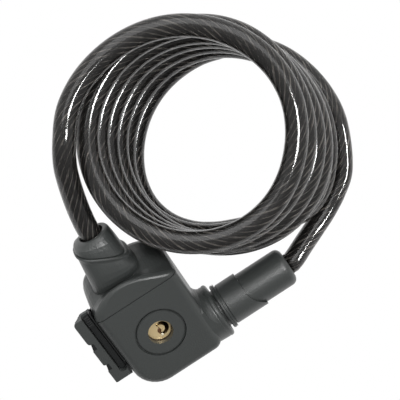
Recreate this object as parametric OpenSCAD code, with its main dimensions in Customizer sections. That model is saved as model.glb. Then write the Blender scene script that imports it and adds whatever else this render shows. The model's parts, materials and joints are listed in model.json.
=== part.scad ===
// Coiled cable lock with a key cylinder, a plug-in bolt and a slide-on bracket.
//
// Lengths are in millimetres. The lock lies on a table: Z is up, X runs along the
// bolt from the housing outwards, and the origin is on the table at the middle of
// the box round the lock and its bolt, without the free cable.
// The housing is drawn in its own frame, x to the right, y towards the cable
// outlet and z out of the front face, with the key's centre as its origin.
// Module in_body() leans that frame back onto the table.

/* [Housing] */
// Width of the housing across the front
body_w = 42; // [40:0.5:46]
// Depth of the housing from front face to back cover
body_d = 28; // [27:0.5:32]
// Distance from the key centre down to the bottom of the housing
body_drop = 25; // [24:0.5:28]
// Distance from the key centre up to the joint with the top cap
body_rise = 20.5; // [19:0.5:23]
// Wall thickness of the moulded shells
wall = 2.2; // [1.8:0.1:2.6]
// Radius along the front edges of the housing
edge_r = 4; // [3:0.5:5]
// Radius of the large lower corner
corner_r = 13; // [10:0.5:15]
// Thickness of the back cover
cover_t = 2.4; // [2:0.1:3]
// Lean of the housing on the table, in degrees
lean = 26; // [24:1:28]

/* [Top cap] */
// Height of the cable tower above the key centre, at its slanted joint
tower_h = 43.5; // [42:0.1:45]
// Slope of the joint between tower and cuff, in degrees
tower_slope = 29; // [25:1:34]
// Height of the cuff's mouth above the key centre
cuff_h = 53.2; // [52.4:0.1:54]
// Radius of the cable hole in the cuff
cuff_bore_r = 5.8; // [5.3:0.1:6]

/* [Key cylinder] */
// Radius of the key plug
plug_r = 5.75; // [5.2:0.05:6]
// Depth of the plug's face behind the housing's front
plug_recess = 3.5; // [2.5:0.1:4]
// Radius of the front disc round the plug
bezel_r = 10.9; // [10:0.1:11.5]
// Wall of the cylinder body round the plug
barrel_wall = 1.45; // [1.2:0.05:1.5]
// Number of pin chambers
pin_count = 5; // [3:1:5]
// Radius of each tumbler pin
pin_r = 1.2; // [1:0.05:1.3]
// Distance of the cam's drive pin from the key's axis
cam_throw = 2; // [1.8:0.1:2.2]

/* [Bolt and ferrule] */
// Radius of the steel bolt
bolt_r = 4.5; // [4:0.1:4.8]
// Radius of the bolt at its locking groove
groove_r = 3; // [2.6:0.1:3.2]
// Distance of the bolt's axis below the key centre
bolt_drop = 14.9; // [14.6:0.1:15.5]
// Outer radius of the housing's collar
collar_r = 13.3; // [13:0.1:13.8]
// Length of the collar beyond the housing's side
collar_len = 6.2; // [6:0.1:7.5]
// Radius of the ferrule's flange
flange_r = 11.3; // [11:0.1:11.6]
// Radius of the ferrule's front sleeve
front_r = 10.3; // [10.1:0.1:10.5]
// Radius of the ferrule's rear sleeve
rear_r = 9.3; // [9:0.1:9.5]
// Length of the ferrule from its flange to its end
ferrule_len = 36.8; // [34:0.2:40]

/* [Cable] */
// Outer diameter of the jacketed cable
cable_d = 10; // [9:0.5:10]
// Mean radius of the coil's turns
coil_r = 45.7; // [44:0.1:48]
// Rings that stand for the coil's turns
coil_turns = 7; // [5:1:7]

/* [Bracket] */
// Radius of the tube that the saddle fits
bar_r = 12.7; // [12.5:0.1:13.5]
// Length of the bracket along the housing
bracket_len = 37; // [34:0.5:40]
// Width of the bracket across the housing's side
bracket_w = 22; // [21:0.2:22.4]
// Height of the bracket off the housing's side
bracket_h = 10.2; // [9.8:0.1:10.6]

/* [Hidden] */

// Finishes
shell_grey = [0.27, 0.28, 0.29];
inner_grey = [0.46, 0.47, 0.48];
steel = [0.72, 0.73, 0.75];
brass = [0.80, 0.62, 0.28];
rubber = [0.16, 0.16, 0.17];
jacket = [0.20, 0.19, 0.18];

// Clearances
run = 0.05;          // running fit, on the radius
flat_gap = 0.15;     // beside a sliding flat
free_gap = 0.35;     // between moving curved faces
fine = 96;
smooth = 32;

// Depths in the housing, measured from its front face
front_wall = wall + 0.3;
mid_z = -body_d / 2;
back_z = -body_d + cover_t;
half_w = body_w / 2;
barrel_r = plug_r + run + barrel_wall;
plug_end_z = -body_d + 7.95;
cam_r = 6.4;
cam_t = 1.95;
cam_z = plug_end_z - cam_t;
cam_screw_z = plug_end_z + 3.55;
latch_t = 2;
latch_front_z = cam_z - free_gap;
latch_back_z = latch_front_z - latch_t;
chimney_top = 13.4;
chimney_w = 5.2;
first_pin_z = -plug_recess - 2.4;
last_pin_z = plug_end_z + 2.55;
pin_pitch = (first_pin_z - last_pin_z) / (pin_count - 1);
pin_size = min(pin_r, 0.42 * pin_pitch);
key_pin_top = sqrt(plug_r * plug_r - pin_size * pin_size) - 0.06;
driver_low = plug_r + run + 0.05;
bolt_y = -bolt_drop;
leg_in = 8.6;
leg_out = 10.6;
leg_x = leg_in - 0.2;

// Bolt and ferrule along x
collar_x = half_w + collar_len;
flange_x = collar_x + 1.2;
flange_t = 1.9;
ferrule_end_x = flange_x + ferrule_len;
spigot_r = 9.2;
spigot_len = 4.6;
socket_x = collar_x - spigot_len - 0.4;
bolt_tip_x = 1;
root_x = flange_x + 9;
blade_x = 5;
blade_t = 3;
groove_gap = 0.4;
latch_travel = cam_throw * sqrt(2);
blade_half = 2.37;
blade_r = groove_r + 0.1;
sleeve_r = bolt_r + run + 1.6;
sleeve_x = 11;
seam_x = flange_x + flange_t + 11;
tongue_len = 6.4;
seam_r = 13;
tube_r = 7;

// Bracket on the left side
rail_x = -half_w;
bracket_mid_y = 7;
bracket_top_y = bracket_mid_y + bracket_len / 2;
bracket_low_y = bracket_mid_y - bracket_len / 2;
bracket_half = bracket_w / 2;
bracket_in_x = rail_x - 0.3;
bracket_out_x = rail_x - bracket_h;
saddle_x = rail_x - 3.9 - bar_r;
pad_t = 0.6;
// lower end, upper end and outer face of each lobe, and the length of a grip
lobes = [
    [bracket_low_y, bracket_low_y + 10.9, bracket_out_x],
    [bracket_low_y + 10.9, bracket_low_y + 23.7, bracket_out_x + 0.35],
    [bracket_low_y + 23.7, bracket_top_y, bracket_out_x + 0.7]
];
grip_len = 3.4;
grip_x = bracket_out_x + 3.4;
tongue_x = rail_x - 2.7;
tongue_low_y = bracket_low_y + 4.9;
top_cut_z = mid_z + 5.2;
neck_half = 3.6;
head_half = 5.2;
neck_x = rail_x - 1.3;
head_x = neck_x - 1;
rail_low_y = bracket_low_y + 4.2;
rail_top_y = bracket_top_y - 8.5;

// Where the housing's frame stands on the table
own_min_x = bracket_out_x;
own_max_x = ferrule_end_x;
own_min_y = -(body_drop - edge_r) * cos(lean) + edge_r * sin(lean) - edge_r;
own_max_y = cuff_h * cos(lean) - (mid_z - 6.6) * sin(lean);
place = [
    -(own_min_x + own_max_x) / 2,
    -(own_min_y + own_max_y) / 2,
    (body_drop - edge_r) * sin(lean) + (body_d - edge_r) * cos(lean) + edge_r
];

// Cable outside the coil, on the table's frame
cable_r = cable_d / 2;
cable_x = -1.1;
tube_sides = 10;
lead_route = [
    [-18.1, 10, 32.8], [-18.1, 18.6, 37], [-18.1, 27.6, 41.4], [-18.1, 37.2, 46.1],
    [-16.8, 44.8, 51], [-14.6, 52.6, 56.8], [-12.1, 59.4, 62.4], [-9.4, 65.3, 66.8],
    [-5.8, 70.5, 69.3], [-1.3, 77.1, 70], [5, 81.8, 68.4], [11.6, 84.6, 66.6]
];
tail_route = [
    [48.2, -25.1, 15.7], [50.2, -25.1, 15.7], [54, -23.8, 14.4], [59.5, -21.6, 11.8],
    [68, -18.4, 8], [77.7, -14.3, 6], [87, -9, 5.2], [94.6, -2.6, 5], [100, 5.3, 5],
    [102.8, 13.6, 5], [103.2, 20.6, 5]
];
coil_pitch = 10.05;
coil_first = [41.9, 47.7, 65.3];
coil_drift = [2.89, -1.98];
coil_bend = [-0.049, -0.0755];

// Cable's anchor and the screws in the cap
groove_deep = 0.6;
anchor_r = 7;
anchor_top = body_rise + 13.3;
anchor_screw_y = body_rise + 7.5;
anchor_head_z = -body_d + 4.4;
cap_screw_top = body_rise + 4.1;

// Top cap: height over the joint of its front and rear arches, at shares of the
// half width from left to right
arch_at = [-1, -0.975, -0.88, -0.74, -0.58, -0.38, -0.16, 0.1, 0.32, 0.52, 0.7, 0.86, 0.97, 1];
arch_front = [0, 2.2, 4.6, 6.7, 8.4, 9.7, 10, 9.2, 7.8, 6.1, 4.4, 3, 1.9, 0];
arch_rear = [0, 5.2, 9.8, 12.4, 13.5, 14, 14.2, 14.1, 13.8, 13, 11.2, 7.8, 3.8, 0];
// depth and share of the full arch height, front to back
cap_rings = [
    [0, 0.92], [-0.4, 0.965], [-1, 1], [-2, 1], [-2.8, 0.94], [-4, 0.84], [-5.4, 0.76],
    [-7, 0.7], [-9, 0.7], [-13, 0.77], [-18, 0.89], [-23, 0.97], [-25.5, 0.95],
    [-27.2, 0.84], [-28, 0.66]
];
// height, left, right, half depth and share of the joint's slope, for the tower and
// for the cuff above it
tower_rings = [
    [26, -15.6, 8, 6.4, 0], [28.5, -15.3, 8.6, 7.6, 0], [30, -14.9, 9, 8.9, 0.04],
    [31.5, -14.4, 9.3, 9.9, 0.1], [33.5, -13.9, 9.4, 10.5, 0.22], [36, -13.3, 9.1, 10.8, 0.43],
    [39, -12.5, 8.7, 10.7, 0.75], [41, -12, 8.4, 10.5, 0.95],
    [tower_h - 1.7, -12, 8.5, 10.6, 1], [tower_h - 1.1, -12.3, 8.9, 11, 1],
    [tower_h - 0.5, -12.3, 8.9, 11, 1], [tower_h - 0.15, -12, 8.6, 10.7, 1],
    [tower_h, -11.5, 8.1, 10.3, 1]
];
cuff_rings = [
    [tower_h, -11, 7.3, 9.7, 1], [tower_h + 0.45, -11.5, 7.7, 10.2, 1],
    [tower_h + 2, -11.4, 7.6, 10.1, 0.86], [cuff_h - 5.7, -11.1, 7.5, 9.9, 0.65],
    [cuff_h - 3.7, -10.5, 7.4, 9.5, 0.45], [cuff_h - 2, -9.6, 7.3, 8.8, 0.26],
    [cuff_h - 0.9, -8.7, 7.1, 8, 0.15], [cuff_h - 0.3, -7.9, 6.7, 7.3, 0.08],
    [cuff_h, -7.2, 6, 6.6, 0.04]
];

// ---------------------------------------------------------------- helpers

// Stands the housing's frame on the table.
module in_body() {
    translate(place) rotate([lean, 0, 0]) children();
}

// A cylinder along x, from x0 to x1, at y and z.
module along_x(x0, x1, r, y = 0, z = 0) {
    translate([x0, y, z]) rotate([90, 0, 90]) cylinder(h = x1 - x0, r = r, $fn = fine);
}

// A cylinder along y, from y0 to y1.
module along_y(y0, y1, r, x = 0, z = 0) {
    translate([x, y0, z]) rotate([-90, 0, 0]) cylinder(h = y1 - y0, r = r, $fn = fine);
}

// A cylinder along z, from z0 up to z1.
module along_z(z0, z1, r, x = 0, y = 0) {
    translate([x, y, z0]) cylinder(h = z1 - z0, r = r, $fn = fine);
}

// A box between two corners.
module box(a, b) {
    translate(a) cube(b - a);
}

// A turned profile about the bolt's axis: points are [radius, x].
module turned(points) {
    translate([0, bolt_y, mid_z]) rotate([90, 0, 90])
        rotate_extrude($fn = fine) polygon(points);
}

// Points on an arc.
function arc(x, y, r, a0, a1, n = 8) = [for (i = [0:n])
    let (a = a0 + (a1 - a0) * i / n) [x + r * cos(a), y + r * sin(a)]];

// Unit vector.
function unit(v) = v / norm(v);

// Smooth curve through a list of values, at the share u of each step.
function between(list, u) =
    let (n = len(list) - 1, i = min(floor(u), n - 1), f = u - i)
    let (a = list[max(i - 1, 0)], b = list[i], c = list[i + 1], d = list[min(i + 2, n)])
    0.5 * (2 * b + (c - a) * f + (2 * a - 5 * b + 4 * c - d) * f * f
        + (3 * b - a - 3 * c + d) * f * f * f);

// Joins rings of equal length into one closed skin.
module skin(rings) {
    n = len(rings[0]);
    m = len(rings);
    sides = [for (j = [0:m - 2]) for (i = [0:n - 1])
        let (a = j * n + i, b = j * n + (i + 1) % n)
        each [[a, b, b + n], [a, b + n, a + n]]];
    low = [for (i = [0:n - 1]) n - 1 - i];
    high = [for (i = [0:n - 1]) (m - 1) * n + i];
    polyhedron(points = [for (r = rings) each r], faces = concat(sides, [low], [high]));
}

// A round tube of radius r swept along a route of hand-set points.
module swept(route, r, steps) {
    n = len(route) - 1;
    count = n * steps;
    line = [for (k = [0:count]) between(route, k / steps)];
    skin([for (k = [0:count])
        let (t = unit(k == 0 ? route[1] - route[0] : k == count ? route[n] - route[n - 1]
            : line[k + 1] - line[k - 1]))
        let (a = unit(cross(t, [0, 0, 1])), b = cross(a, t))
        [for (i = [0:tube_sides - 1])
            let (w = -i * 360 / tube_sides)
            line[k] + r * (cos(w) * a + sin(w) * b)]]);
}

// A rounded square section across y, from a row of height, left, right, half depth
// and slope.
function section(row, sides = 40, power = 3) = [for (i = [0:sides - 1])
    let (w = i * 360 / sides, c = cos(w), s = sin(w))
    let (x = (row[1] + row[2]) / 2 + (row[2] - row[1]) / 2 * sign(c) * pow(abs(c), 2 / power))
    [
        x,
        row[0] - row[4] * tan(tower_slope) * x,
        mid_z + row[3] * sign(s) * pow(abs(s), 2 / power)
    ]];

// ---------------------------------------------------------------- housing

// Outline of the housing across its depth, moved inwards by d.
module outline(d) {
    w = half_w - d;
    low = -body_drop + d;
    r1 = corner_r - d;
    r2 = max(edge_r + 1 - d, 0.8);
    polygon(concat(
        [[w, body_rise - d], [-w, body_rise - d]],
        arc(-w + r1, low + r1, r1, 180, 270),
        arc(w - r2, low + r2, r2, 270, 360)
    ));
}

// Outer form of the housing below the cap, with rounded front and rear edges.
module housing_form() {
    r = edge_r;
    hull() {
        for (z = [-r, -body_d + r]) {
            translate([-half_w + corner_r, -body_drop + corner_r, z])
                rotate_extrude($fn = smooth)
                    translate([corner_r - r, 0]) circle(r, $fn = smooth);
            translate([half_w - r - 1, -body_drop + r + 1, z]) rotate_extrude($fn = smooth)
                polygon(concat([[0, -r]], arc(1, 0, r, -90, 90, 16), [[0, r]]));
            for (x = [-half_w + r, half_w - r])
                translate([x, body_rise, z]) rotate([90, 0, 0])
                    cylinder(h = 1, r = r, $fn = smooth);
        }
    }
}

// The collar that the bolt plugs into: a waisted neck with a rounded rim, and the
// flare that joins it to the side of the housing.
module collar_form() {
    turned([
        [0, 8], [9.6, 8], [collar_r - 2, 12], [collar_r - 0.9, 16], [collar_r - 0.2, 20],
        [collar_r, half_w + 3.4], [collar_r - 0.1, collar_x - 2.4],
        [collar_r + 0.15, collar_x - 1.6], [collar_r + 0.1, collar_x - 0.9],
        [collar_r - 0.3, collar_x - 0.3], [collar_r - 1, collar_x], [0, collar_x]
    ]);
    intersection() {
        turned(concat(
            [[2, 14.3], [collar_r + 3.7, 14.3]],
            arc(collar_r + 3.7, half_w + 3.8, 4, 270, 180, 5),
            [[2, half_w + 3.8]]
        ));
        box([10, bolt_y, mid_z - collar_r + 0.1], [half_w + 6, 6, mid_z + collar_r - 0.1]);
    }
}

cover_screw_at = [
    [-half_w + 7.2, body_rise - 7.1], [half_w - 7.2, body_rise - 7.1],
    [-half_w + 8.8, -body_drop + 10.4], [half_w - 7, -body_drop + 7.2]
];
boss_z = back_z + 8.1;
cover_screw_z = mid_z - sleeve_r - 0.5;
cap_screw_at = [-11, 11];
rail_screw_at = [bracket_mid_y - 9, bracket_mid_y + 6];

// Moulded front housing with the key opening, the collar and an open back.
module main_shell() {
    color(shell_grey) in_body() difference() {
        union() {
            housing_form();
            collar_form();
        }
        // hollow for the mechanism and opening for the back cover, with four screw
        // bosses left standing
        difference() {
            union() {
                translate([0, 0, -body_d + 3.6]) linear_extrude(body_d - 3.6 - front_wall)
                    outline(wall);
                translate([0, 0, -body_d - 1]) linear_extrude(5) outline(edge_r + 0.2);
            }
            for (p = cover_screw_at)
                box([min(p[0] - 3, sign(p[0]) * 24), min(p[1] - 3, sign(p[1]) * 26), back_z],
                    [max(p[0] + 3, sign(p[0]) * 24), max(p[1] + 3, sign(p[1]) * 26), boss_z]);
        }
        // key opening and the seat of the front disc
        along_z(-front_wall - 1, 1, bezel_r - 2);
        along_z(-1.5, 1, bezel_r + 1);
        // collar: socket for the ferrule's spigot, and the sleeve behind it
        along_x(socket_x, collar_x + 1, spigot_r + free_gap, bolt_y, mid_z);
        along_x(sleeve_x, collar_x, sleeve_r + run, bolt_y, mid_z);
        // screw holes: back cover, cap and rail
        for (p = cover_screw_at)
            along_z(-body_d - 1, cover_screw_z + 0.5, 1.3, p[0], p[1]);
        for (x = cap_screw_at)
            along_y(body_rise - wall - 1, body_rise + 1, 1.6, x, mid_z);
        for (y = rail_screw_at)
            along_x(-half_w - 1, -half_w + wall + 1, 1.6, y, mid_z);
    }
}

// Flat back cover with countersunk corners and two ribs that keep the latch in.
module rear_cover() {
    color(shell_grey) in_body() difference() {
        union() {
            translate([0, 0, -body_d]) linear_extrude(cover_t) outline(edge_r + 0.35);
            for (x = [-6.6, 5])
                box([x, -8, back_z - 0.1], [x + 1.6, 8, latch_back_z - 0.25]);
        }
        for (p = cover_screw_at) {
            along_z(-body_d - 1, back_z + 1, 1.5, p[0], p[1]);
            along_z(-body_d - 1, -body_d + 1.3, 2.6, p[0], p[1]);
        }
    }
}

// Four screws that hold the back cover.
module cover_screws() {
    color(steel) in_body() for (p = cover_screw_at) difference() {
        union() {
            along_z(-body_d + 0.1, -body_d + 1.3, 2.5, p[0], p[1]);
            along_z(-body_d + 1.2, cover_screw_z, 1.25, p[0], p[1]);
        }
        for (a = [0, 90])
            translate([p[0], p[1], -body_d]) rotate([0, 0, a])
                box([-1.5, -0.3, -1], [1.5, 0.3, 0.7]);
    }
}

// Height of the cap's arch over the joint at each share of the half width, for a
// section at depth z.
function arch(z, share) = let (u = min(max(-z / 14, 0), 1), t = u * u * (3 - 2 * u))
    [for (i = [0:len(arch_at) - 1]) share * ((1 - t) * arch_front[i] + t * arch_rear[i])];

// Half width of the housing at depth z, inside its rounded edges.
function half_at(z) = let (d = min(-z, body_d + z))
    half_w - edge_r + (d < edge_r ? sqrt(edge_r * edge_r - pow(edge_r - d, 2)) : edge_r);

// Arched top cap with the tower that carries the cable.
module top_cap() {
    n = len(arch_at) - 1;
    color(shell_grey) in_body() difference() {
        union() {
            skin([for (row = cap_rings)
                let (z = row[0], w = half_at(z), h = arch(z, row[1]))
                [for (k = [2 * n:-1:0]) [
                    w * between(arch_at, k / 2),
                    body_rise + max(between(h, k / 2), 0),
                    z
                ]]]);
            skin([for (row = tower_rings) section(row)]);
        }
        // shadow groove along the joint with the housing
        difference() {
            box([-40, body_rise - 1, -60], [40, body_rise + 0.5, 10]);
            translate([0, body_rise - 2, 0]) rotate([90, 0, 0]) mirror([0, 0, 1])
                linear_extrude(4) offset(edge_r - groove_deep, $fn = smooth)
                    translate([-half_w + edge_r, -body_d + edge_r])
                        square([body_w - 2 * edge_r, body_d - 2 * edge_r]);
        }
        // chamber for the cable's anchor and the hole above it
        along_y(body_rise - 1, anchor_top + 0.2, anchor_r + 0.3, cable_x, mid_z);
        along_y(body_rise, cuff_h + 5, cuff_bore_r, cable_x, mid_z);
        for (x = cap_screw_at)
            along_y(body_rise - 1, cap_screw_top + 0.9, 1.25, x, mid_z);
        along_z(-body_d - 1, mid_z - 5, 1.55, cable_x, anchor_screw_y);
        along_z(-body_d - 1, anchor_head_z - 0.4, 2.6, cable_x, anchor_screw_y);
    }
}

// Two screws that hold the cap from inside the housing.
module cap_screws() {
    color(steel) in_body() for (x = cap_screw_at) difference() {
        union() {
            along_y(body_rise - wall - 1.6, body_rise - wall, 2.4, x, mid_z);
            along_y(body_rise - wall - 0.1, cap_screw_top, 1.2, x, mid_z);
        }
        box([x - 0.3, 10, mid_z - 1.6], [x + 0.3, body_rise - wall - 0.8, mid_z + 1.6]);
    }
}

// Domed cuff on the tower, open at its top for the cable.
module cable_cuff() {
    color(shell_grey) in_body() difference() {
        skin([for (row = cuff_rings) section(row, 40, row[0] > cuff_h - 3 ? 2.2 : 2.7)]);
        along_y(tower_h - 12, cuff_h + 5, cuff_bore_r, cable_x, mid_z);
    }
}

// Crimped anchor on the end of the cable, held below the tower.
module cable_anchor() {
    color(steel) in_body() difference() {
        along_y(body_rise + 0.4, anchor_top, anchor_r, cable_x, mid_z);
        along_y(body_rise, anchor_top + 6, cable_r + run, cable_x, mid_z);
        for (y = [4, 6.5, 9]) translate([cable_x, body_rise + y, mid_z]) rotate([90, 0, 0])
            rotate_extrude($fn = fine) translate([anchor_r + 0.3, 0]) circle(0.7, $fn = smooth);
    }
}

// Grub screw from the back that locks the anchor in the cap.
module anchor_screw() {
    y = anchor_screw_y;
    color(steel) in_body() difference() {
        along_z(anchor_head_z, mid_z - anchor_r - 0.1, 1.5, cable_x, y);
        box([cable_x - 1.2, y - 0.3, -body_d], [cable_x + 1.2, y + 0.3, anchor_head_z + 0.6]);
    }
}

// ---------------------------------------------------------------- key cylinder

// Front disc round the key plug, with its bore.
module front_bezel() {
    color(shell_grey) in_body() difference() {
        union() {
            along_z(-1.5, -0.3, bezel_r);
            along_z(-0.4, 0, bezel_r - 0.3);
            along_z(-front_wall, -1, bezel_r - 2.1);
        }
        along_z(-10, 1, plug_r + run);
    }
}

// Cylinder body: a barrel with a row of pin chambers above it.
module cylinder_barrel() {
    color(brass) in_body() difference() {
        union() {
            along_z(plug_end_z + run, -front_wall, barrel_r);
            box([-chimney_w / 2, 0, plug_end_z + run], [chimney_w / 2, chimney_top, -4]);
        }
        along_z(-30, 1, plug_r + run);
        for (i = [0:pin_count - 1])
            along_y(3, chimney_top + 1, pin_size + run, 0, first_pin_z - i * pin_pitch);
    }
}

// Upper pins, resting just outside the plug.
module driver_pins() {
    color(steel) in_body() for (i = [0:pin_count - 1])
        along_y(driver_low, driver_low + 3.4, pin_size, 0, first_pin_z - i * pin_pitch);
}

// Springs above the upper pins, as plain sleeves of the coils' outer size.
module pin_springs() {
    color(steel) in_body() for (i = [0:pin_count - 1]) difference() {
        along_y(driver_low + 3.4, chimney_top, pin_size - 0.1, 0, first_pin_z - i * pin_pitch);
        along_y(5, 20, pin_size - 0.4, 0, first_pin_z - i * pin_pitch);
    }
}

// Strip that closes the pin chambers.
module chamber_cover() {
    color(brass) in_body()
        box([-chimney_w / 2, chimney_top, plug_end_z + run],
            [chimney_w / 2, chimney_top + 0.8, -4]);
}

// Key plug with a curved keyway in its right half.
module key_plug() {
    color(brass) in_body() difference() {
        union() {
            along_z(plug_end_z, -plug_recess - 0.4, plug_r);
            along_z(-plug_recess - 0.5, -plug_recess, plug_r - 0.35);
        }
        // curved keyway
        difference() {
            along_z(-15, 0, 3.5, 1, -0.4);
            along_z(-16, 1, 1.9, 0.6, -0.4);
            box([-8, -8, -16], [-0.4, 8, 1]);
        }
        for (i = [0:pin_count - 1])
            along_y(0.6, 8, pin_size + run, 0, first_pin_z - i * pin_pitch);
        along_z(-body_d, cam_screw_z, 1.05);
    }
}

// Lower pins in the plug, each with its own length.
module key_pins() {
    low = [1.6, 2.4, 1.2, 2.9, 2];
    color(brass) in_body() for (i = [0:pin_count - 1])
        along_y(low[i], key_pin_top, pin_size, 0, first_pin_z - i * pin_pitch);
}

// Cam on the back of the plug, with the pin that drives the latch.
module plug_cam() {
    a = cam_throw / sqrt(2);
    color(steel) in_body() difference() {
        union() {
            along_z(cam_z, plug_end_z, cam_r);
            along_z(latch_back_z + 0.4, cam_z + 0.5, 1.1, a, a);
        }
        along_z(-30, -10, 1.1, 0, 0);
    }
}

// Screw that fixes the cam to the plug, flush with the cam's back.
module cam_screw() {
    color(steel) in_body() along_z(cam_z, cam_screw_z - 0.5, 1);
}

// Cast frame that seats the cylinder and guides the latch and the bolt.
module lock_chassis() {
    color(inner_grey) in_body() difference() {
        union() {
            translate([0, 0, plug_end_z + run]) linear_extrude(-front_wall - plug_end_z - run)
                polygon([
                    [-leg_out, 15], [leg_out, 15], [leg_out, -7.6], [sleeve_x - 0.2, -7.6],
                    [sleeve_x - 0.2, -20.6], [-8.8, -20.6], [-8.8, -11], [-leg_out, -11]
                ]);
            box([-leg_out, -7.4, back_z], [-leg_in, 10, -19]);
            box([leg_in, -7.4, back_z], [leg_out, 10, -19]);
        }
        along_z(-30, 1, barrel_r + run);
        box([-chimney_w / 2 - 0.1, 0, -30], [chimney_w / 2 + 0.1, 20, -3.9]);
        along_x(-20, 20, bolt_r + 0.5, bolt_y, mid_z);
        // way for the latch's blade between cylinder and bolt
        box([blade_x + 0.05, -13.4, -30], [blade_x + blade_t + 0.75, -6, mid_z + blade_half + 0.3]);
    }
}

// Latch: a plate behind the cam and a blade that drops into the bolt's groove.
module latch_slide() {
    a = cam_throw / sqrt(2);
    x0 = blade_x + groove_gap;
    rest_y = bolt_y + latch_travel;
    low = rest_y + sqrt(blade_r * blade_r - blade_half * blade_half);
    color(steel) in_body() difference() {
        union() {
            box([-leg_x, -6, latch_back_z], [leg_x, 5.4, latch_front_z]);
            box([x0 - 1.4, -8.6, latch_back_z], [x0 + blade_t, -5, latch_front_z]);
            box([x0, low, latch_back_z], [x0 + blade_t, -barrel_r - 0.3, mid_z + blade_half]);
        }
        along_x(-20, 20, blade_r, rest_y, mid_z);
        // slot for the cam's pin
        box([-0.3, a - 1.1 - 0.3, -40], [a + 2.2, a + 1.1 + 0.3, 0]);
    }
}

// Steel sleeve that the bolt runs in.
module socket_sleeve() {
    color(steel) in_body() difference() {
        along_x(sleeve_x, socket_x, sleeve_r, bolt_y, mid_z);
        along_x(0, 40, bolt_r + run, bolt_y, mid_z);
    }
}

// ---------------------------------------------------------------- bracket

// T-shaped rail on the left side of the housing.
module mount_rail() {
    color(shell_grey) in_body() difference() {
        union() {
            box([neck_x - 0.1, rail_low_y, mid_z - neck_half],
                [rail_x, rail_top_y, mid_z + neck_half]);
            box([head_x, rail_low_y, mid_z - head_half],
                [neck_x, rail_top_y, mid_z + head_half]);
        }
        for (y = rail_screw_at) along_x(head_x + 0.5, 0, 1.15, y, mid_z);
    }
}

// Two screws that hold the rail from inside the housing.
module rail_screws() {
    color(steel) in_body() for (y = rail_screw_at) difference() {
        union() {
            along_x(head_x + 0.7, rail_x + wall + 0.1, 1.1, y, mid_z);
            along_x(rail_x + wall, rail_x + wall + 1.5, 2.3, y, mid_z);
        }
        box([rail_x + wall + 0.8, y - 0.3, mid_z - 1.5], [0, y + 0.3, mid_z + 1.5]);
    }
}

// Outline of one lobe from y0 to y1, with its outer face at x, bowed outwards and
// rounded at its corners.
module lobe(y0, y1, x) {
    r = 1.5;
    bow = 0.5;
    polygon(concat(
        [[grip_x + 3, y0], [grip_x + 3, y1]],
        arc(x + bow + r, y1 - r, r, 90, 165, 4),
        [[x, (y0 + y1) / 2 + 1.5], [x, (y0 + y1) / 2 - 1.5]],
        arc(x + bow + r, y0 + r, r, 195, 270, 4)
    ));
}

// Space behind the bracket's upper end, which slants back.
module behind_top() {
    translate([0, bracket_top_y, top_cut_z]) rotate([-30, 0, 0])
        box([-60, 0, -60], [0, 30, 60]);
}

// Space of the ribbed grips, at the upper ends of the two lower lobes, on both rims.
module grip_space(d) {
    for (l = [lobes[0], lobes[1]]) for (side = [-1, 1]) {
        z0 = mid_z + side * (bracket_half - 0.8 + d);
        box([bracket_out_x - 1 + d, l[1] - grip_len, min(z0, z0 - side * (1.2 + d))],
            [grip_x, l[1], max(z0, z0 - side * (1.2 + d))]);
    }
}

// Bracket that stays on the carrier's tube: a plate with three lobes, a slot for
// the rail and a groove for the release tongue.
module bracket_base() {
    c = 1.6;
    color(shell_grey) in_body() difference() {
        intersection() {
            translate([0, 0, mid_z - bracket_half]) linear_extrude(bracket_w) {
                translate([grip_x, bracket_low_y])
                    square([bracket_in_x - grip_x, bracket_len]);
                for (l = lobes) lobe(l[0], l[1], l[2]);
            }
            // rounded long edges
            translate([0, bracket_low_y - 1, 0]) rotate([90, 0, 0]) mirror([0, 0, 1])
                linear_extrude(bracket_len + 2) polygon(concat(
                    [[bracket_in_x, mid_z - bracket_half], [bracket_in_x, mid_z + bracket_half]],
                    arc(bracket_out_x + c - 0.2, mid_z + bracket_half - c, c, 90, 150),
                    arc(bracket_out_x + c - 0.2, mid_z - bracket_half + c, c, 210, 270)
                ));
        }
        behind_top();
        // saddle under the pad
        along_y(-40, 60, bar_r + pad_t, saddle_x, mid_z);
        grip_space(1);
        // slot for the rail, open at the top
        box([neck_x - 0.05, rail_low_y - 0.3, mid_z - neck_half - flat_gap],
            [0, 60, mid_z + neck_half + flat_gap]);
        box([head_x - flat_gap, rail_low_y - 0.3, mid_z - head_half - flat_gap],
            [neck_x + flat_gap, 60, mid_z + head_half + flat_gap]);
        // groove for the release tongue, in the front face, with a low inner wall
        along_z(mid_z + bracket_half - 4, 0, 1.8, tongue_x, tongue_low_y);
        box([tongue_x - 1.8, tongue_low_y, mid_z + bracket_half - 4], [tongue_x + 1.8, 60, 0]);
        box([tongue_x, tongue_low_y, mid_z + bracket_half - 1.6], [0, 60, 0]);
    }
}

// Springy tongue in the bracket's front groove that keeps the rail from sliding out.
module release_tongue() {
    z0 = mid_z + bracket_half - 4;
    low = tongue_low_y + 0.4;
    high = bracket_top_y - 1.2;
    color(shell_grey) in_body() difference() {
        union() {
            along_z(z0, z0 + 2.2, 1.25, tongue_x, low);
            box([tongue_x - 1.25, low, z0], [tongue_x + 1.25, high, z0 + 2.2]);
            box([tongue_x - 1.25, high - 5.2, z0], [tongue_x + 1.25, high, z0 + 3]);
        }
        for (i = [0:3]) translate([0, high - 4 + i * 1.1, z0 + 3.2])
            rotate([45, 0, 0]) box([tongue_x - 3, -0.35, -0.35], [tongue_x + 3, 0.35, 0.35]);
    }
}

// Soft pad in the saddle.
module saddle_pad() {
    color(rubber) in_body() difference() {
        intersection() {
            difference() {
                along_y(bracket_low_y + 0.2, bracket_top_y - 0.2, bar_r + pad_t, saddle_x, mid_z);
                along_y(-40, 60, bar_r, saddle_x, mid_z);
            }
            box([bracket_out_x + 0.75, -40, mid_z - bracket_half + 0.2],
                [0, 60, mid_z + bracket_half - 0.2]);
        }
        behind_top();
    }
}

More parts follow.
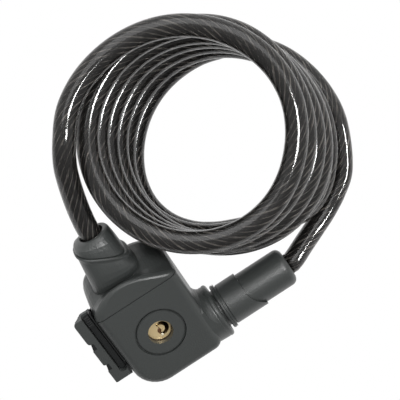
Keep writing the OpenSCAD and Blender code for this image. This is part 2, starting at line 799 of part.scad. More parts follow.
// Ribbed grips let into the rims of the bracket.
module grip_strips() {
    color(inner_grey) in_body() difference() {
        grip_space(0);
        behind_top();
        for (l = [lobes[0], lobes[1]]) for (y = [l[1] - grip_len + 0.5:0.8:l[1]])
            translate([bracket_out_x + 0.2, y, mid_z])
                rotate([0, 0, 45]) box([-0.6, -0.6, -20], [0.6, 0.6, 20]);
        along_y(-40, 60, bar_r + pad_t + 0.2, saddle_x, mid_z);
    }
}

// ---------------------------------------------------------------- bolt

// Steel bolt with its locking groove and the shoulder that seats in the flange.
module bolt_pin() {
    shoulder = bolt_r + 1;
    color(steel) in_body() turned([
        [0, bolt_tip_x], [bolt_r - 1.4, bolt_tip_x], [bolt_r, bolt_tip_x + 1.6],
        [bolt_r, blade_x], [groove_r, blade_x],
        [groove_r, blade_x + blade_t + 2 * groove_gap],
        [bolt_r, blade_x + blade_t + 2 * groove_gap], [bolt_r, socket_x + 0.6],
        [shoulder, socket_x + 1.6], [shoulder, flange_x + flange_t],
        [bolt_r - 0.3, flange_x + flange_t], [bolt_r - 0.3, root_x], [0, root_x]
    ]);
}

// Flange with the spigot that enters the collar.
module flange_ring() {
    in_r = bolt_r + 1 + run;
    color(shell_grey) in_body() turned([
        [in_r, collar_x - spigot_len + 0.6], [spigot_r - 0.5, collar_x - spigot_len + 0.6],
        [spigot_r, collar_x - spigot_len + 1.1], [spigot_r, collar_x - 2.6],
        [spigot_r - 1, collar_x - 2.6], [spigot_r - 1, collar_x - 1.2],
        [spigot_r, collar_x - 1.2], [spigot_r, flange_x], [flange_r - 0.4, flange_x],
        [flange_r, flange_x + 0.4], [flange_r, flange_x + 1.1],
        [flange_r - 0.35, flange_x + 1.25], [flange_r - 0.35, flange_x + 1.45],
        [flange_r, flange_x + 1.6], [flange_r - 0.1, flange_x + flange_t],
        [in_r, flange_x + flange_t]
    ]);
}

// Rubber ring in the spigot's groove.
module seal_ring() {
    color(rubber) in_body() translate([collar_x - 1.9, bolt_y, mid_z]) rotate([90, 0, 90])
        rotate_extrude($fn = fine) translate([spigot_r - 0.4, 0]) circle(0.55, $fn = smooth);
}

// Region behind the curved seam between the two sleeves, moved back by d: the seam
// runs straight on the upper side and sweeps back to a point on the lower side.
module behind_seam(d) {
    translate([0, bolt_y, mid_z]) rotate([-lean, 0, 0]) {
        box([seam_x + d, 2, -20], [80, 20, 20]);
        translate([seam_x + seam_r, 2, -20]) cylinder(h = 40, r = seam_r - d, $fn = fine);
        box([seam_x + tongue_len + d, -20, -20], [80, 20, 20]);
    }
}

// Front sleeve of the ferrule, with a pointed tongue on its lower side.
module front_sleeve() {
    x0 = flange_x + flange_t;
    color(shell_grey) in_body() difference() {
        turned([
            [tube_r + run, x0], [front_r - 0.35, x0], [front_r - 0.35, x0 + 0.5],
            [front_r, x0 + 0.9], [front_r, seam_x + tongue_len + 1],
            [tube_r + run, seam_x + tongue_len + 1]
        ]);
        behind_seam(0);
    }
}

// Rear sleeve of the ferrule, open at its end for the cable.
module rear_sleeve() {
    x = ferrule_end_x;
    color(shell_grey) in_body() intersection() {
        turned(concat(
            [[tube_r + run, seam_x - 2], [rear_r, seam_x - 2], [rear_r, x - 3.2]],
            arc(rear_r - 3.2, x - 3.2, 3.2, 0, 80, 6),
            [[cable_r + 0.5, x], [cable_r + 0.5, x - 4], [tube_r + run, x - 4.5]]
        ));
        behind_seam(0.12);
    }
}

// Steel tube crimped on the cable's end and screwed on the bolt's root.
module crimp_tube() {
    x0 = flange_x + flange_t;
    x1 = ferrule_end_x - 5;
    color(steel) in_body() turned([
        [bolt_r - 0.3 + run, x0], [tube_r, x0], [tube_r, x0 + 12], [tube_r - 0.5, x0 + 13],
        [tube_r - 0.5, x0 + 14.6], [tube_r, x0 + 15.6], [tube_r, x0 + 18],
        [tube_r - 0.5, x0 + 19], [tube_r - 0.5, x0 + 20.6], [tube_r, x0 + 21.6],
        [tube_r, x1], [cable_r + run, x1], [cable_r + run, root_x + 1],
        [bolt_r - 0.3 + run, root_x + 1]
    ]);
}

// The last length of the cable, gripped inside the ferrule.
module cable_end() {
    color(jacket) in_body() along_x(root_x + 1, ferrule_end_x, cable_r, bolt_y, mid_z);
}

// ---------------------------------------------------------------- cable

// Cable from the cuff up to the coil.
module cable_lead() {
    color(jacket) swept(lead_route, cable_r, 2);
}

// The coiled length: one closed body of the coil's outer shape.
module cable_coil() {
    h = coil_pitch / 2;
    r = cable_r;
    color(jacket) for (k = [0:coil_turns - 1])
        translate(coil_first + concat(k * coil_drift + k * k * coil_bend, -k * coil_pitch))
        rotate_extrude($fn = fine) polygon([
            [coil_r - 2, -h], [coil_r + 2, -h], [coil_r + 4, -h + 1.6],
            [coil_r + r, -1.4], [coil_r + r, 1.4], [coil_r + 4, h - 1.6],
            [coil_r + 2, h + 0.05], [coil_r - 2, h + 0.05], [coil_r - 4, h - 1.6],
            [coil_r - r, 1.4], [coil_r - r, -1.4], [coil_r - 4, -h + 1.6]
        ]);
}

// Cable from the coil to the ferrule.
module cable_tail() {
    color(jacket) swept(tail_route, cable_r, 2);
}

// ---------------------------------------------------------------- assembly

main_shell();
rear_cover();
cover_screws();
top_cap();
cap_screws();
cable_cuff();
front_bezel();
cylinder_barrel();
driver_pins();
pin_springs();
chamber_cover();
key_plug();
key_pins();
plug_cam();
cam_screw();
lock_chassis();
latch_slide();
socket_sleeve();
cable_anchor();
anchor_screw();
mount_rail();
rail_screws();
bracket_base();
release_tongue();
saddle_pad();
grip_strips();
bolt_pin();
flange_ring();
seal_ring();
front_sleeve();
rear_sleeve();
crimp_tube();
cable_end();
cable_lead();
cable_coil();
cable_tail();
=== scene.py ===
"""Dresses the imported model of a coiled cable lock: cable, finishes and stage."""

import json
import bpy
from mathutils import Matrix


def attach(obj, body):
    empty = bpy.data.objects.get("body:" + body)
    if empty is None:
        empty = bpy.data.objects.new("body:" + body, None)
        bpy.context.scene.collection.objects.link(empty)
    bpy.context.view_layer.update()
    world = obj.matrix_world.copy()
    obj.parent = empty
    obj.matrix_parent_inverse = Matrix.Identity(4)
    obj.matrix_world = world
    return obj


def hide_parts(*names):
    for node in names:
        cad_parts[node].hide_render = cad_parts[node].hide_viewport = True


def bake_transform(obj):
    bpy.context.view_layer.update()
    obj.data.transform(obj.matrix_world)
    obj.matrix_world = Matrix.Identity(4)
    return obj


bl_info = {
    "name": "Coiled cable lock",
    "version": (1, 0, 0),
    "blender": (4, 5, 0),
    "location": "3D View > Sidebar > Cable lock",
    "description": "Builds the visible cable of a coiled cable lock and finishes its parts",
    "category": "Object",
}

from math import cos, pi, radians, sin

import bpy
import numpy as np
from mathutils import Matrix, Vector

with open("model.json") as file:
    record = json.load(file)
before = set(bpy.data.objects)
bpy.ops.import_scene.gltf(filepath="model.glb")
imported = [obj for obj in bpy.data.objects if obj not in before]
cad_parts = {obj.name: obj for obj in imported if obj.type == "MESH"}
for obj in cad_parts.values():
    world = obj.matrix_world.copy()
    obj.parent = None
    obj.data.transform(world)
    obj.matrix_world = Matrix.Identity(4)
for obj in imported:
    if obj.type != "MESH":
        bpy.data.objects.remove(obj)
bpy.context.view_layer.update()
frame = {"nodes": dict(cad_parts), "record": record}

MM = 0.001

# Cable route outside the coil, in millimetres, from the cuff to the coil and from
# the coil to the ferrule
LEAD_ROUTE = [
    (-18.1, 27.6, 41.4), (-18.1, 37.2, 46.1), (-16.8, 44.8, 51), (-14.6, 52.6, 56.8),
    (-12.1, 59.4, 62.4), (-9.4, 65.3, 66.8),
]
TAIL_ROUTE = [
    (94.6, -2.6, 5), (87, -9, 5.2), (77.7, -14.3, 6), (68, -18.4, 8), (59.5, -21.6, 11.8),
    (54, -23.8, 14.4), (50.2, -25.1, 15.7), (48.2, -25.1, 15.7),
]

# Coil: the first turn starts at the left, and each turn lies lower and a little
# further right than the one above it
COIL_START = 152.0
COIL_TOP = 70.3
COIL_TURNS = 6.5
TURN_STEPS = 24
SPLIT_TURN = 6.25
COIL_EASE = 0.06

# Centre of the coil in plan: at the start, drift per turn, drift per turn squared
CENTRE_X = (40.43, 2.935, -0.049)
CENTRE_Y = (48.74, -1.906, -0.0755)

# Where the coil's radius swells or shrinks: turn, width in turns, millimetres
SWELLS = (
    (0.0, 0.12, 5.3), (0.33, 0.1, -0.8), (0.54, 0.08, -1.2), (1.31, 0.09, 1.6),
    (2.6, 0.14, 2.2), (3.6, 0.14, 3.4), (4.62, 0.07, 5.0), (4.71, 0.12, -5.8),
    (4.92, 0.09, 2.2), (5.62, 0.07, 4.5), (5.72, 0.12, -8.0), (5.92, 0.09, 2.4),
    (6.3, 0.1, 3.5), (COIL_TURNS, 0.13, 4.3),
)

# Core under the jacket and the wires that stand out from it, in metres
CORE_R = 0.00325
WIRE_R = (0.00034, 0.0002, 0.00042, 0.00022, 0.00034)
JACKET_STEP, WIRE_STEP = 0.0018, 0.0022
JACKET_SIDES, CORE_SIDES, WIRE_SIDES = 60, 12, 5
CURVE_STEPS = 40

# Housing: its lean from upright, in degrees, and the place of its front, in millimetres
LEAN = 26.0
PLACE = (-17.0, -17.8625, 34.7769)

# Bracket, on the housing's own axes, in millimetres
BRACKET_MID_Z = -14.0
BRACKET_ENDS = (-11.3, 25.3)
SADDLE_X = -37.6
SADDLE_R = 12.7
SADDLE_HALF = 9.3
SADDLE_POINTS = 49
PAD_T = 0.58

# The saddle's upper end slants: its height at a level, and the rise per level
SLANT_TOP = 25.4
SLANT_LEVEL = -8.8
SLANT = 0.577

# Ribbed grips: upper ends, length, teeth, outer edge and its slope, the two edges
# of the back, and the two levels either side of the bracket's middle
GRIP_ENDS = (-0.65, 12.15)
GRIP_LENGTH = 3.3
GRIP_RINGS = 41
TOOTH_PITCH, TOOTH_DEPTH = 0.68, 0.15
GRIP_EDGE, GRIP_SLOPE = -29.9, 0.8
GRIP_BACK = (-27.82, -27.95)
GRIP_LEVELS = (10.85, 9.2)

# Between these the bracket's plastic goes dark towards the housing, along the scene's x:
# painted shade in the groove beside it
BRACKET_PAINTED_SHADE = (-39.4, -39.0)

# Face of the plug, and the depths below it between which painted shade darkens the brass
PLUG_FACE_Z = -3.5
SHADE_DEPTHS = (0.9, 0.2)

# Patches of painted shade and painted highlight on the plug's face: points along an edge and
# the level of the underside, then for each one its centre, length, width, turn in degrees
# and lift
LENS_POINTS = 13
LENS_FOOT = 0.005
SHADE_PATCH = ((-0.4, -0.9), 4.6, 1.9, 72, 0.02)
HIGHLIGHT_PATCH = ((-0.3, -3.4), 1.9, 1.3, 72, 0.03)

# Direction on the table that the camera sees as up. The lamps stand along it.
UPRIGHT = (0.5446, 0.8387, 0)

# Lamps: name, place, width and height in metres, power in watts
LAMP_TARGET = (0.04, 0.04, 0.03)
STRIP = ("Strip", (0.1627, -0.0312, 0.5), (0.12, 0.08), 1.45)
LOW_STRIP = ("Low strip", (0.4147, -0.2093, 0.3), (0.1, 0.2), 3.0)
SOFT = ("Soft", (0.35, 0.55, 0.85), (1.2, 1.0), 7)
SKY_LEVELS = (0.2, 0.9)

FLOOR_HALF = 3.0
FLOOR_DROP = 0.0002

CAMERA_PLACE = (0.03007, 0.02233, 0.516)
CAMERA_TURN = -33
CAMERA_SENSOR = 36
CAMERA_LENS = 96.57

# Fine grain of moulded plastic: scale, strength, depth
SHELL_GRAIN = (1500, 0.55, 0.0002)
GRIP_GRAIN = (2600, 0.2, 0.0002)
SHELL_ROUGH = 0.36
# Dark plastic of the grips, also used as painted shade on the bracket beside the housing and
# on the tongue and rail
DARK_PLASTIC_AND_SHADE = (0.012, 0.013, 0.013)
BRASS = (0.8, 0.62, 0.34)
BRASS_ROUGH, BRASS_METAL = 0.3, 0.55
# Colour of the painted shade deep in the keyway
KEYWAY_SHADE = (0.1, 0.055, 0.022)


class LockSizes(bpy.types.PropertyGroup):
    """Sizes of the cable."""

    cable: bpy.props.FloatProperty(
        name="Cable", description="Outer diameter of the jacket", default=0.01,
        min=0.008, max=0.01, unit="LENGTH",
    )
    coil: bpy.props.FloatProperty(
        name="Coil", description="Mean radius of the coil's turns", default=0.0457,
        min=0.044, max=0.048, unit="LENGTH",
    )
    pitch: bpy.props.FloatProperty(
        name="Pitch", description="Height from one turn to the next", default=0.01005,
        min=0.0098, max=0.011, unit="LENGTH",
    )
    wires: bpy.props.IntProperty(
        name="Wires", description="Bright wires seen round the cable's core", default=9,
        min=5, max=16,
    )
    lay: bpy.props.FloatProperty(
        name="Lay", description="Length in which a wire goes once round the core",
        default=0.044, min=0.02, max=0.08, unit="LENGTH",
    )


class LockColours(bpy.types.PropertyGroup):
    """Colours of the lock's materials."""

    shell: bpy.props.FloatVectorProperty(
        name="Shell", description="Moulded housing, sleeves and bracket",
        subtype="COLOR", size=3, min=0, max=1, default=(0.041, 0.0445, 0.0432),
    )
    jacket: bpy.props.FloatVectorProperty(
        name="Jacket", description="Smoke-tinted jacket of the cable",
        subtype="COLOR", size=3, min=0, max=1, default=(0.25, 0.238, 0.228),
    )
    strand: bpy.props.FloatVectorProperty(
        name="Strand", description="Wires inside the jacket",
        subtype="COLOR", size=3, min=0, max=1, default=(0.9, 0.86, 0.82),
    )
    floor: bpy.props.FloatVectorProperty(
        name="Floor", description="Table under the lock",
        subtype="COLOR", size=3, min=0, max=1, default=(0.86, 0.86, 0.86),
    )


# ------------------------------------------------------------------ shapes


def coil_point(turn, radius, pitch):
    """Points of the coil, in metres, at an array of turns counted from the first.

    A helix whose centre drifts sideways with each turn, along a + b turn + c turn^2.
    The radius swells at both ends, where the cable leaves for the cuff and for the
    ferrule, and a little in between: each swell is a bell curve
    h exp(-((turn - t) / w)^2). The fall is pitch hypot(turn, ease), level at turn 0.
    """
    turn = np.asarray(turn, float)
    angle = np.radians(COIL_START - 360 * turn)
    swell = sum(high * np.exp(-(((turn - at) / width) ** 2)) for at, width, high in SWELLS)
    r = radius + swell * MM
    x, y = ((c[0] + c[1] * turn + c[2] * turn**2) * MM for c in (CENTRE_X, CENTRE_Y))
    z = COIL_TOP * MM - pitch * np.hypot(turn, COIL_EASE)
    return np.stack([x + r * np.cos(angle), y + r * np.sin(angle), z], axis=1)


def length_run(line):
    """Length run along a line up to each of its points."""
    return np.concatenate([[0], np.cumsum(np.linalg.norm(np.diff(line, axis=0), axis=1))])


def smooth_line(points, step):
    """Even points on a smooth curve through hand-set ones.

    Each stretch is the cubic whose end slopes are half the chord between its
    neighbours (Catmull and Rom); the curve is then walked at equal steps of length.
    """
    p = np.asarray(points, float)
    p = np.concatenate([[2 * p[0] - p[1]], p, [2 * p[-1] - p[-2]]])
    f = np.linspace(0, 1, CURVE_STEPS, endpoint=False)[:, None, None]
    a, b, c, d = p[:-3], p[1:-2], p[2:-1], p[3:]
    dense = 0.5 * (
        2 * b + (c - a) * f + (2 * a - 5 * b + 4 * c - d) * f**2
        + (3 * b - a - 3 * c + d) * f**3
    )
    dense = np.concatenate([dense.transpose(1, 0, 2).reshape(-1, 3), p[-2:-1]])
    run = length_run(dense)
    at = np.linspace(0, run[-1], max(int(round(run[-1] / step)), 4) + 1)
    return np.stack([np.interp(at, run, dense[:, i]) for i in range(3)], axis=1)


def along(line):
    """Tangent, side and top directions of a line, and the length run at each point.

    The side direction is level and square to the line, the top one square to both.
    """
    t = np.gradient(line, axis=0)
    t /= np.linalg.norm(t, axis=1)[:, None]
    side = np.cross(t, [0, 0, 1])
    side /= np.linalg.norm(side, axis=1)[:, None]
    top = np.cross(side, t)
    return t, side, top, length_run(line)


def grid_faces(rows, around):
    """Quads of a tube of rings, with a flat cap at each end."""
    j, i = np.meshgrid(np.arange(rows - 1), np.arange(around), indexing="ij")
    k = (i + 1) % around
    quads = np.stack(
        [j * around + i, j * around + k, (j + 1) * around + k, (j + 1) * around + i], -1
    ).reshape(-1, 4)
    foot = list(range(around))[::-1]
    head = [(rows - 1) * around + n for n in range(around)]
    return quads.tolist() + [foot, head]


def tube(line, radius, sides, start=0.0, turn=None, off=0.0):
    """Vertices and faces of a round tube along a line, and the length run.

    A ring of the given radius at each point. With turn, the tube's own centre goes
    round the line at the distance off, once every turn of length, from the angle start.
    """
    _, side, top, run = along(line)
    centre = line
    if turn:
        w = (start - 2 * pi * run / turn)[:, None]
        centre = line + off * (np.cos(w) * side + np.sin(w) * top)
        _, side, top, _ = along(centre)
    a = -2 * pi * np.arange(sides) / sides
    ring = np.cos(a)[None, :, None] * side[:, None] + np.sin(a)[None, :, None] * top[:, None]
    verts = (centre[:, None] + radius * ring).reshape(-1, 3)
    return verts, grid_faces(len(line), sides), run


def add_mesh(name, parts, material, smooth=True):
    """One mesh object from several (vertices, faces) pairs."""
    verts, faces, base = [], [], 0
    for v, f in parts:
        verts.append(v)
        faces += [[n + base for n in face] for face in f]
        base += len(v)
    mesh = bpy.data.meshes.new(name)
    mesh.from_pydata(np.concatenate(verts).tolist(), [], faces)
    mesh.polygons.foreach_set("use_smooth", [smooth] * len(mesh.polygons))
    mesh.materials.append(material)
    obj = bpy.data.objects.new(name, mesh)
    bpy.context.scene.collection.objects.link(obj)
    return obj


def from_body(points):
    """Millimetres on the housing's own axes to metres in the scene.

    The housing's axes lean back by LEAN about x: (x, y c - z n, y n + z c) + PLACE.
    """
    x, y, z = np.asarray(points, float).T
    c, n = cos(radians(LEAN)), sin(radians(LEAN))
    return (np.stack([x, y * c - z * n, y * n + z * c], axis=1) + PLACE) * MM


def swept(rings):
    """Vertices and faces of a closed body through rings of equal numbers of points."""
    rings = np.asarray(rings, float)
    rows, around = rings.shape[:2]
    return from_body(rings.reshape(-1, 3)), grid_faces(rows, around)


def grip(top, side):
    """One ribbed grip in the bracket's rim: deep at its upper end, flush at its lower.

    Its outer edge x(y) runs straight with teeth: the saw |2 frac(y / pitch) - 1|
    times the tooth's depth, on the slope.
    """
    outer, inner = GRIP_LEVELS
    levels = (outer, outer, inner, inner)
    rings = []
    for y in np.linspace(top - GRIP_LENGTH, top, GRIP_RINGS):
        saw = abs(2 * ((y - top) / TOOTH_PITCH % 1) - 1)
        slope = GRIP_SLOPE * (y - top + GRIP_LENGTH) / GRIP_LENGTH
        edges = (GRIP_EDGE + slope + TOOTH_DEPTH * saw, GRIP_BACK[0], *GRIP_BACK)
        ring = [(x, y, BRACKET_MID_Z + side * z) for x, z in zip(edges, levels)]
        rings.append(ring[:: -side])
    return swept(rings)


def saddle_lining():
    """Lining of the saddle: an arc band whose upper end slants with the bracket's."""
    angles = np.arcsin(np.linspace(-SADDLE_HALF, SADDLE_HALF, SADDLE_POINTS) / SADDLE_R)
    rows = ((SADDLE_R, angles), (SADDLE_R + PAD_T, angles[::-1]))
    outline = [
        (SADDLE_X + r * cos(a), BRACKET_MID_Z + r * sin(a)) for r, row in rows for a in row
    ]
    foot, head = BRACKET_ENDS
    low = [(x, foot, z) for x, z in outline]
    high = [(x, min(head, SLANT_TOP + SLANT * (z - SLANT_LEVEL)), z) for x, z in outline]
    return swept([low, high])


def lens(centre, length, width, turn, lift):
    """A thin raised patch with pointed ends on the plug's face.

    Its outline is y = w/2 cos^2(pi t / 2) over t from -1 to 1, turned by turn degrees.
    """
    t = np.linspace(-1, 1, LENS_POINTS)
    half = width / 2 * np.cos(pi * t / 2) ** 2
    upper, lower = (np.stack([t * length / 2, edge], 1) for edge in (half, -half))
    flat = np.concatenate([upper, lower[-2:0:-1]])
    c, n = cos(radians(turn)), sin(radians(turn))
    flat = flat @ np.array([[c, n], [-n, c]]) + centre
    rings = [[(x, y, PLUG_FACE_Z + z) for x, y in flat] for z in (lift, LENS_FOOT)]
    return swept(rings)


# ------------------------------------------------------------------ finishes


def new_material(name):
    """A material, with its nodes, its links and its Principled shader."""
    material = bpy.data.materials.new(name)
    material.use_nodes = True
    nodes = material.node_tree.nodes
    return material, nodes, material.node_tree.links, nodes["Principled BSDF"]


def noise_bump(nodes, links, shader, scale, strength, depth):
    """A fine noise bump on object coordinates."""
    coords = nodes.new("ShaderNodeTexCoord")
    noise = nodes.new("ShaderNodeTexNoise")
    noise.inputs["Scale"].default_value = scale
    noise.inputs["Detail"].default_value = 3
    bump = nodes.new("ShaderNodeBump")
    bump.inputs["Strength"].default_value = strength
    bump.inputs["Distance"].default_value = depth
    links.new(coords.outputs["Object"], noise.inputs["Vector"])
    links.new(noise.outputs["Fac"], bump.inputs["Height"])
    links.new(bump.outputs["Normal"], shader.inputs["Normal"])


def plain(name, colour, rough, metal=0.0, bump=None, gloss=0.5):
    """A material of one colour with an optional fine bump (scale, strength, depth)."""
    material, nodes, links, shader = new_material(name)
    shader.inputs["Base Color"].default_value = (*colour, 1)
    shader.inputs["Roughness"].default_value = rough
    shader.inputs["Metallic"].default_value = metal
    shader.inputs["Specular IOR Level"].default_value = gloss
    if bump:
        noise_bump(nodes, links, shader, *bump)
    return material


def shade_along(nodes, links, shader, direction, between, colours):
    """Runs the base colour from one to another along a direction.

    The object coordinate dotted with the direction gives a distance in metres; the
    first colour holds up to the first distance, the second from the second one on.
    """
    coords = nodes.new("ShaderNodeTexCoord")
    distance = nodes.new("ShaderNodeVectorMath")
    distance.operation = "DOT_PRODUCT"
    distance.inputs[1].default_value = direction
    share = nodes.new("ShaderNodeMapRange")
    share.inputs["From Min"].default_value, share.inputs["From Max"].default_value = between
    ramp = nodes.new("ShaderNodeValToRGB")
    for stop, colour in zip(ramp.color_ramp.elements, colours):
        stop.color = (*colour, 1)
    links.new(coords.outputs["Object"], distance.inputs[0])
    links.new(distance.outputs["Value"], share.inputs["Value"])
    links.new(share.outputs["Result"], ramp.inputs["Fac"])
    links.new(ramp.outputs["Color"], shader.inputs["Base Color"])


def jacket_material(colours):
    """Smoke-tinted clear vinyl."""
    material, nodes, links, shader = new_material("Smoked vinyl")
    shader.inputs["Base Color"].default_value = (*colours.jacket, 1)
    shader.inputs["Roughness"].default_value = 0.1
    shader.inputs["IOR"].default_value = 1.5
    shader.inputs["Specular IOR Level"].default_value = 0.35
    shader.inputs["Transmission Weight"].default_value = 0.97
    return material


def wire_material(colours):
    """Bright steel wire, dulled in patches along its length."""
    material, nodes, links, shader = new_material("Wire")
    shader.inputs["Roughness"].default_value = 0.4
    shader.inputs["Metallic"].default_value = 1
    coords = nodes.new("ShaderNodeTexCoord")
    noise = nodes.new("ShaderNodeTexNoise")
    noise.inputs["Scale"].default_value = 150
    ramp = nodes.new("ShaderNodeValToRGB")
    dull, bright = ramp.color_ramp.elements
    dull.position, bright.position = 0.38, 0.62
    dull.color = (*(0.12 * np.array(colours.strand)), 1)
    bright.color = (*colours.strand, 1)
    links.new(coords.outputs["Object"], noise.inputs["Vector"])
    links.new(noise.outputs["Fac"], ramp.inputs["Fac"])
    links.new(ramp.outputs["Color"], shader.inputs["Base Color"])
    return material


def bracket_material(colours):
    """The shell's plastic, with painted shade: dark in the groove beside the housing."""
    material, nodes, links, shader = new_material("Bracket")
    shader.inputs["Roughness"].default_value = SHELL_ROUGH
    noise_bump(nodes, links, shader, *SHELL_GRAIN)
    # painted shade: the plastic turns dark towards the housing between these two distances
    shade_span = [x * MM for x in BRACKET_PAINTED_SHADE]
    shade_along(nodes, links, shader, (1, 0, 0), shade_span, (colours.shell, DARK_PLASTIC_AND_SHADE))
    return material


def shaded_brass_material():
    """Satin brass with painted shade: dark from just below the plug's face downwards.

    Depth runs along the housing's own z, whose direction in the scene is (0, -n, c),
    with c and n the cosine and sine of the lean. The face lies at
    PLUG_FACE_Z + PLACE . (0, -n, c) along it.
    """
    material, nodes, links, shader = new_material("Brass")
    shader.inputs["Roughness"].default_value = BRASS_ROUGH
    shader.inputs["Metallic"].default_value = BRASS_METAL
    c, n = cos(radians(LEAN)), sin(radians(LEAN))
    level = PLUG_FACE_Z - n * PLACE[1] + c * PLACE[2]
    # painted shade: the brass goes dark from just below the face downwards
    between = [(level - depth) * MM for depth in SHADE_DEPTHS]
    shade_along(nodes, links, shader, (0, -n, c), between, (KEYWAY_SHADE, BRASS))
    return material


def finish(node, material):
    """Gives a CAD node a new material."""
    mesh = frame["nodes"][node].data
    mesh.materials.clear()
    mesh.materials.append(material)


# ------------------------------------------------------------------ operators


class LOCK_OT_cable(bpy.types.Operator):
    """Makes the cable: its jacket, and the strands inside it, in two lengths."""

    bl_idname = "lock.cable"
    bl_label = "Cable"

    def execute(self, context):
        sizes = context.scene.lock_sizes
        colours = context.scene.lock_colours
        vinyl = jacket_material(colours)
        wire = wire_material(colours)
        dark = plain("Strand core", (0.008, 0.008, 0.008), 0.6)
        turns = np.arange(0, SPLIT_TURN * TURN_STEPS + 1) / TURN_STEPS
        first = coil_point(turns, sizes.coil, sizes.pitch)
        turns = np.arange(SPLIT_TURN * TURN_STEPS, COIL_TURNS * TURN_STEPS + 1) / TURN_STEPS
        last = coil_point(turns, sizes.coil, sizes.pitch)
        routes = [
            ("cable", np.concatenate([np.array(LEAD_ROUTE) * MM, first])),
            ("cable_tail_end", np.concatenate([last, np.array(TAIL_ROUTE) * MM])),
        ]
        made = []
        for name, route in routes:
            line = smooth_line(route, JACKET_STEP)
            v, f, run = tube(line, sizes.cable / 2, JACKET_SIDES)
            jacket = add_mesh(name + "_jacket", [(v, f)], vinyl)
            v, f, _ = tube(line, CORE_R, CORE_SIDES)
            core = add_mesh(name + "_core", [(v, f)], dark)
            fine = smooth_line(route, WIRE_STEP)
            parts = []
            for k in range(sizes.wires):
                thick = WIRE_R[k % len(WIRE_R)]
                start = 2 * pi * k / sizes.wires
                v, f, _ = tube(fine, thick, WIRE_SIDES, start, sizes.lay, CORE_R)
                parts.append((v, f))
            wires = add_mesh(name + "_wires", parts, wire)
            made.append((jacket, [core, wires], line, float(run[-1])))
        (jacket, inner, line, length), (jacket2, inner2, line2, length2) = made
        for piece in (jacket, *inner):
            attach(piece, "case")
        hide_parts("cable_lead", "cable_coil")
        start, end = line2[0], line2[-1]
        for piece in (jacket2, *inner2):
            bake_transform(piece)
        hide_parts("cable_tail")
        return {"FINISHED"}


class LOCK_OT_bracket(bpy.types.Operator):
    """Makes the ribbed grips and the saddle's lining of the bracket, and paints shade on the
    bracket beside the housing.
    """

    bl_idname = "lock.bracket"
    bl_label = "Bracket trim"

    def execute(self, context):
        dark = plain("Grip plastic and shade", DARK_PLASTIC_AND_SHADE, 0.5, 0, GRIP_GRAIN, 0.25)
        parts = [grip(top, side) for top in GRIP_ENDS for side in (-1, 1)]
        grips = add_mesh("ribbed_grips", parts, dark, False)
        lining = add_mesh("saddle_lining", [saddle_lining()], dark, False)
        trim = ((grips, "grip_strips", "insert"), (lining, "saddle_pad", "rubber"))
        for piece, node, slot in trim:
            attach(piece, "bracket")
            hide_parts(node)
        # The release tongue and the mount rail take the dark grip plastic as painted shade
        # in the recess beside the housing
        finish("release_tongue", dark)
        finish("mount_rail", dark)
        finish("bracket_base", bracket_material(context.scene.lock_colours))
        return {"FINISHED"}


class LOCK_OT_plug(bpy.types.Operator):
    """Makes two patches on the plug's face: a dark one of painted shade and a pale one of
    painted highlight.
    """

    bl_idname = "lock.plug"
    bl_label = "Plug face"

    def execute(self, context):
        brown = plain("Brass in shade", (0.11, 0.05, 0.02), 0.4)
        # a pale patch of painted highlight on the brass
        pale = plain("Brass highlight", (0.95, 0.88, 0.68), 0.3)
        # a dark patch of painted shade where a hollow would be
        shade = add_mesh("plug_painted_shade", [lens(*SHADE_PATCH)], brown)
        highlight = add_mesh("plug_painted_highlight", [lens(*HIGHLIGHT_PATCH)], pale)
        for piece in (shade, highlight):
            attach(piece, "plug")
        return {"FINISHED"}


class LOCK_OT_finishes(bpy.types.Operator):
    """Gives the lock's solid parts their finishes."""

    bl_idname = "lock.finishes"
    bl_label = "Finishes"

    def execute(self, context):
        colours = context.scene.lock_colours
        shell = plain("Moulded shell", colours.shell, SHELL_ROUGH, 0, SHELL_GRAIN)
        steel = plain("Steel", (0.55, 0.55, 0.56), 0.25, 1)
        brass = plain("Brass", BRASS, BRASS_ROUGH, BRASS_METAL)
        rubber = plain("Rubber", (0.03, 0.03, 0.03), 0.6)
        insert = plain("Ribbed insert", (0.16, 0.16, 0.16), 0.5)
        casting = plain("Casting", (0.4, 0.4, 0.4), 0.5, 1)
        jacket = plain("Cable end", (0.02, 0.019, 0.018), 0.15)
        by_slot = {
            "shell": shell, "steel": steel, "brass": brass, "rubber": rubber,
            "insert": insert, "casting": casting, "jacket": jacket,
        }
        for row in frame["record"]["subparts"]:
            finish(row["node"], by_slot[row["material_slot"]])
        finish("key_plug", shaded_brass_material())
        # The barrel's near-black brown is painted shade in the ring round the plug
        finish("cylinder_barrel", plain("Barrel in shade", (0.06, 0.05, 0.042), 0.5, 0.5))
        return {"FINISHED"}


def area_light(name, place, size, power):
    """A rectangular lamp at a place, aimed at the lock, its height along UPRIGHT."""
    data = bpy.data.lights.new(name, "AREA")
    data.shape = "RECTANGLE"
    data.size, data.size_y = size
    data.energy = power
    lamp = bpy.data.objects.new(name, data)
    bpy.context.scene.collection.objects.link(lamp)
    back = (Vector(place) - Vector(LAMP_TARGET)).normalized()
    side = Vector(UPRIGHT).cross(back).normalized()
    turned = Matrix((side, back.cross(side), back)).transposed().to_4x4()
    lamp.matrix_world = Matrix.Translation(place) @ turned
    lamp.visible_transmission = False
    return lamp


def limit_lamp(lamp, piece, state):
    """Lets a lamp light one piece alone (INCLUDE) or all but it (EXCLUDE)."""
    reach = bpy.data.collections.new(lamp.name + " reach")
    reach.objects.link(piece)
    reach.collection_objects[0].light_linking.link_state = state
    lamp.light_linking.receiver_collection = reach


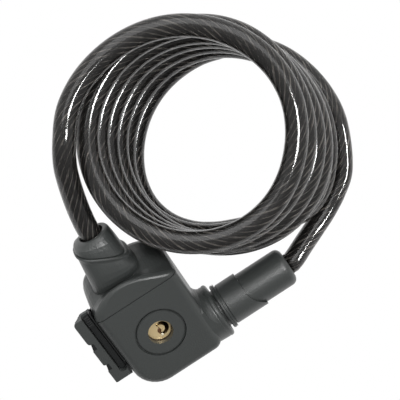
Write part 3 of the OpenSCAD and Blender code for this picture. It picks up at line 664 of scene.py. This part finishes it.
def table_material(colours):
    """A pale table that is plain white to the camera and in gloss and clear skins."""
    material, nodes, links, shader = new_material("Pale table")
    shader.inputs["Base Color"].default_value = (*colours.floor, 1)
    shader.inputs["Roughness"].default_value = 0.9
    path = nodes.new("ShaderNodeLightPath")
    glow = nodes.new("ShaderNodeEmission")
    glow.inputs["Strength"].default_value = 1.0
    mix = nodes.new("ShaderNodeMixShader")
    seen = nodes.new("ShaderNodeMath")
    seen.operation = "MAXIMUM"
    seen_all = nodes.new("ShaderNodeMath")
    seen_all.operation = "MAXIMUM"
    links.new(path.outputs["Is Camera Ray"], seen.inputs[0])
    links.new(path.outputs["Is Glossy Ray"], seen.inputs[1])
    links.new(seen.outputs[0], seen_all.inputs[0])
    links.new(path.outputs["Is Transmission Ray"], seen_all.inputs[1])
    links.new(seen_all.outputs[0], mix.inputs[0])
    links.new(shader.outputs[0], mix.inputs[1])
    links.new(glow.outputs[0], mix.inputs[2])
    links.new(mix.outputs[0], nodes["Material Output"].inputs["Surface"])
    return material


def light_sky(world):
    """White light from all round, brighter from the UPRIGHT side than from its foot.

    The strength goes evenly with the direction dotted with UPRIGHT, from -1 to 1.
    """
    world.use_nodes = True
    nodes, links = world.node_tree.nodes, world.node_tree.links
    sky = nodes["Background"]
    sky.inputs["Color"].default_value = (1, 1, 1, 1)
    toward = nodes.new("ShaderNodeTexCoord")
    lift = nodes.new("ShaderNodeVectorMath")
    lift.operation = "DOT_PRODUCT"
    lift.inputs[1].default_value = UPRIGHT
    level = nodes.new("ShaderNodeMapRange")
    level.inputs["From Min"].default_value = -1
    level.inputs["To Min"].default_value, level.inputs["To Max"].default_value = SKY_LEVELS
    links.new(toward.outputs["Generated"], lift.inputs[0])
    links.new(lift.outputs["Value"], level.inputs["Value"])
    links.new(level.outputs["Result"], sky.inputs["Strength"])


class LOCK_OT_stage(bpy.types.Operator):
    """Lays the floor, hangs the lamps and sets the camera."""

    bl_idname = "lock.stage"
    bl_label = "Stage"

    def execute(self, context):
        scene = context.scene
        corners = FLOOR_HALF * np.array([(-1, -1, 0), (1, -1, 0), (1, 1, 0), (-1, 1, 0)])
        table = table_material(scene.lock_colours)
        floor = add_mesh("Floor", [(corners, [[0, 1, 2, 3]])], table, False)
        floor.location.z = -FLOOR_DROP

        scene.world = scene.world or bpy.data.worlds.new("Studio")
        light_sky(scene.world)

        # the strips draw the white strokes: one on the tail, the other on all the rest
        strip, low = area_light(*STRIP), area_light(*LOW_STRIP)
        area_light(*SOFT)
        tail = scene.objects.get("cable_tail_end_jacket")
        if tail:
            limit_lamp(strip, tail, "EXCLUDE")
            limit_lamp(low, tail, "INCLUDE")

        camera = bpy.data.cameras.new("Camera")
        camera.sensor_width = CAMERA_SENSOR
        camera.lens = CAMERA_LENS
        view = bpy.data.objects.new("Camera", camera)
        scene.collection.objects.link(view)
        view.location = CAMERA_PLACE
        view.rotation_euler = (0, 0, radians(CAMERA_TURN))
        scene.camera = view
        scene.view_settings.view_transform = "Standard"
        return {"FINISHED"}


class LOCK_PT_panel(bpy.types.Panel):
    """Lists the lock's pieces in the sidebar."""

    bl_idname = "LOCK_PT_panel"
    bl_label = "Cable lock"
    bl_space_type = "VIEW_3D"
    bl_region_type = "UI"
    bl_category = "Cable lock"

    def draw(self, context):
        for operator in OPERATORS:
            self.layout.operator(operator.bl_idname)


OPERATORS = (
    LOCK_OT_finishes, LOCK_OT_cable, LOCK_OT_bracket, LOCK_OT_plug, LOCK_OT_stage,
)
CLASSES = (LockSizes, LockColours, *OPERATORS, LOCK_PT_panel)


def register():
    """Registers the classes and hangs the settings on the scene."""
    for cls in CLASSES:
        bpy.utils.register_class(cls)
    bpy.types.Scene.lock_sizes = bpy.props.PointerProperty(type=LockSizes)
    bpy.types.Scene.lock_colours = bpy.props.PointerProperty(type=LockColours)


def unregister():
    """Takes the settings off the scene and unregisters the classes."""
    del bpy.types.Scene.lock_colours
    del bpy.types.Scene.lock_sizes
    for cls in reversed(CLASSES):
        bpy.utils.unregister_class(cls)


def main():
    register()
    bpy.ops.lock.finishes()
    bpy.ops.lock.cable()
    bpy.ops.lock.bracket()
    bpy.ops.lock.plug()
    bpy.ops.lock.stage()


if __name__ == "__main__":
    main()
